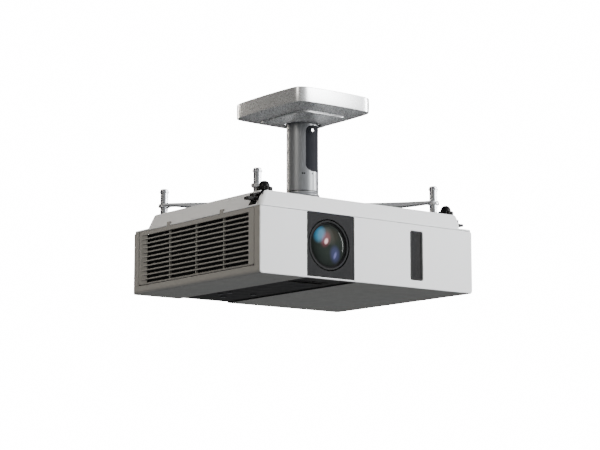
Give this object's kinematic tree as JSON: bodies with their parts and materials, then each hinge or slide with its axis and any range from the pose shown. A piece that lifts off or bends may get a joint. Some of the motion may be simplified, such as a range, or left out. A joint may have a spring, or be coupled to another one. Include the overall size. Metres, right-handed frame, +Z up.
{
  "type": "ceiling-mounted video projector",
  "caption": "Video projector hung upside down under a ceiling mount with a covered anchor plate, round column, swivel and tilt head, curved arms and standoff posts.",
  "frame": {"origin": "centre of the anchor plate's mounting face, on the ceiling", "axes": "+Z up into the ceiling, -Y the way the lens looks, +X to the right seen from behind the lens"},
  "size_m": [0.415, 0.332, 0.305],
  "materials": {
    "mount_paint": "satin",
    "cover_plastic": "satin",
    "cable_cover_plastic": "satin",
    "spring_steel": "satin",
    "arm_steel": "satin",
    "post_chrome": "polished",
    "nut_steel": "satin",
    "nylon_black": "matte",
    "case_white": "fine texture",
    "case_grey": "fine texture",
    "lens_grey": "satin",
    "window_dark": "gloss",
    "lens_black": "satin",
    "coated_glass": "coated",
    "black_plastic": "satin",
    "key_grey": "satin",
    "engine_grey": "matte",
    "board_green": "satin",
    "filter_foam": "open foam"
  },
  "bodies": {
    "ceiling_mount": {"anchor_plate": "mount_paint", "column_tube": "mount_paint", "bearing_washer": "nylon_black", "cable_cover": "cable_cover_plastic", "cable_cover_screw": "spring_steel", "column_screws": "spring_steel"},
    "ceiling_cover": {"ceiling_cover": "cover_plastic", "cover_clips": "spring_steel"},
    "swivel_head": {"swivel_collar": "mount_paint", "swivel_bolt": "spring_steel"},
    "tilt_block": {"tilt_block": "mount_paint", "tilt_pin": "spring_steel"},
    "projector": {"hub_plate": "mount_paint", "roll_bolt": "spring_steel", "arm_front_right": "arm_steel", "arm_front_left": "arm_steel", "arm_rear_left": "arm_steel", "arm_rear_right": "arm_steel", "arm_screws": "spring_steel", "post_rods": "post_chrome", "post_caps": "post_chrome", "post_nuts": "nut_steel", "base_tray": "case_white", "case_screws": "spring_steel", "front_panel": "case_white", "ir_window": "window_dark", "lens_panel": "lens_grey", "lens_bezel": "lens_black", "left_panel": "case_grey", "air_filter": "filter_foam", "right_panel": "case_grey", "rear_panel": "case_grey", "rear_ports": "black_plastic", "ac_inlet": "black_plastic", "top_cover": "case_grey", "control_band": "black_plastic", "lens_barrel": "lens_black", "light_engine": "engine_grey", "lamp_module": "engine_grey", "power_supply": "engine_grey", "main_board": "board_green", "fan_frames": "black_plastic", "foot_housings": "black_plastic"},
    "filter_door": {"filter_door": "case_grey"},
    "front_lens": {"lens_cell": "lens_black", "front_glass": "coated_glass"},
    "focus_ring": {"focus_ring": "lens_black"},
    "zoom_ring": {"zoom_ring": "lens_black"},
    "intake_rotor": {"intake_rotor": "black_plastic"},
    "outlet_rotor": {"outlet_rotor": "black_plastic"},
    "foot_leg_left": {"foot_leg_left": "black_plastic"},
    "foot_ring_left": {"foot_ring_left": "black_plastic"},
    "foot_lever_left": {"foot_lever_left": "black_plastic"},
    "foot_leg_right": {"foot_leg_right": "black_plastic"},
    "foot_ring_right": {"foot_ring_right": "black_plastic"},
    "foot_lever_right": {"foot_lever_right": "black_plastic"},
    "key_power": {"key_power": "key_grey"},
    "key_source": {"key_source": "key_grey"},
    "key_menu": {"key_menu": "key_grey"},
    "key_select": {"key_select": "key_grey"}
  },
  "joints": [
    {"name": "cover_slide", "type": "slide", "parent": "ceiling_mount", "child": "ceiling_cover", "axis": [0, 0, -1], "range_m": [0, 0.085]},
    {"name": "swivel", "type": "hinge", "parent": "ceiling_mount", "child": "swivel_head", "pos_m": [0, 0, -0.145], "axis": [0, 0, 1], "range_deg": [-180, 180]},
    {"name": "tilt", "type": "hinge", "parent": "swivel_head", "child": "tilt_block", "pos_m": [0, 0, -0.1575], "axis": [1, 0, 0], "range_deg": [-10, 10]},
    {"name": "roll", "type": "hinge", "parent": "tilt_block", "child": "projector", "pos_m": [0, 0, -0.1655], "axis": [0, 1, 0], "range_deg": [-8, 8]},
    {"name": "filter_door_hinge", "type": "hinge", "parent": "projector", "child": "filter_door", "pos_m": [-0.20175, 0, -0.29095], "axis": [0, -1, 0], "range_deg": [0, 80]},
    {"name": "lens_slide", "type": "slide", "parent": "projector", "child": "front_lens", "axis": [0, -1, 0], "range_m": [-0.0013, 0.0026]},
    {"name": "focus_turn", "type": "hinge", "parent": "projector", "child": "focus_ring", "pos_m": [-0.0788, -0.106, -0.255], "axis": [0, -1, 0], "range_deg": [-12, 24]},
    {"name": "zoom_turn", "type": "hinge", "parent": "projector", "child": "zoom_ring", "pos_m": [-0.0788, -0.12, -0.255], "axis": [0, -1, 0], "range_deg": [0, 40]},
    {"name": "intake_spin", "type": "hinge", "parent": "projector", "child": "intake_rotor", "pos_m": [-0.17, -0.01, -0.259], "axis": [1, 0, 0], "continuous": true},
    {"name": "outlet_spin", "type": "hinge", "parent": "projector", "child": "outlet_rotor", "pos_m": [0.18, -0.005, -0.259], "axis": [1, 0, 0], "continuous": true},
    {"name": "leg_slide_left", "type": "slide", "parent": "projector", "child": "foot_leg_left", "axis": [0, 0, 1], "range_m": [0, 0.012]},
    {"name": "leg_screw_left", "type": "hinge", "parent": "projector", "child": "foot_ring_left", "pos_m": [-0.1752, -0.1377, -0.182], "axis": [0, 0, 1], "range_deg": [0, 1440]},
    {"name": "lever_press_left", "type": "hinge", "parent": "projector", "child": "foot_lever_left", "pos_m": [-0.1837, -0.1377, -0.18875], "axis": [0, 1, 0], "range_deg": [0, 7], "stiffness_Nm_per_rad": 0.2},
    {"name": "leg_slide_right", "type": "slide", "parent": "projector", "child": "foot_leg_right", "axis": [0, 0, 1], "range_m": [0, 0.012]},
    {"name": "leg_screw_right", "type": "hinge", "parent": "projector", "child": "foot_ring_right", "pos_m": [0.1752, -0.1377, -0.182], "axis": [0, 0, 1], "range_deg": [0, 1440]},
    {"name": "lever_press_right", "type": "hinge", "parent": "projector", "child": "foot_lever_right", "pos_m": [0.1837, -0.1377, -0.18875], "axis": [0, -1, 0], "range_deg": [0, 7], "stiffness_Nm_per_rad": 0.2},
    {"name": "press_power", "type": "slide", "parent": "projector", "child": "key_power", "axis": [0, 0, 1], "range_m": [0, 0.0008], "stiffness_N_per_m": 400},
    {"name": "press_source", "type": "slide", "parent": "projector", "child": "key_source", "axis": [0, 0, 1], "range_m": [0, 0.0008], "stiffness_N_per_m": 400},
    {"name": "press_menu", "type": "slide", "parent": "projector", "child": "key_menu", "axis": [0, 0, 1], "range_m": [0, 0.0008], "stiffness_N_per_m": 400},
    {"name": "press_select", "type": "slide", "parent": "projector", "child": "key_select", "axis": [0, 0, 1], "range_m": [0, 0.0008], "stiffness_N_per_m": 400}
  ],
  "couplings": [
    {"joint": "focus_turn", "follows": "lens_slide", "rad_per_m": 160},
    {"joint": "leg_screw_left", "follows": "leg_slide_left", "rad_per_m": 2094.4},
    {"joint": "leg_screw_right", "follows": "leg_slide_right", "rad_per_m": 2094.4}
  ]
}
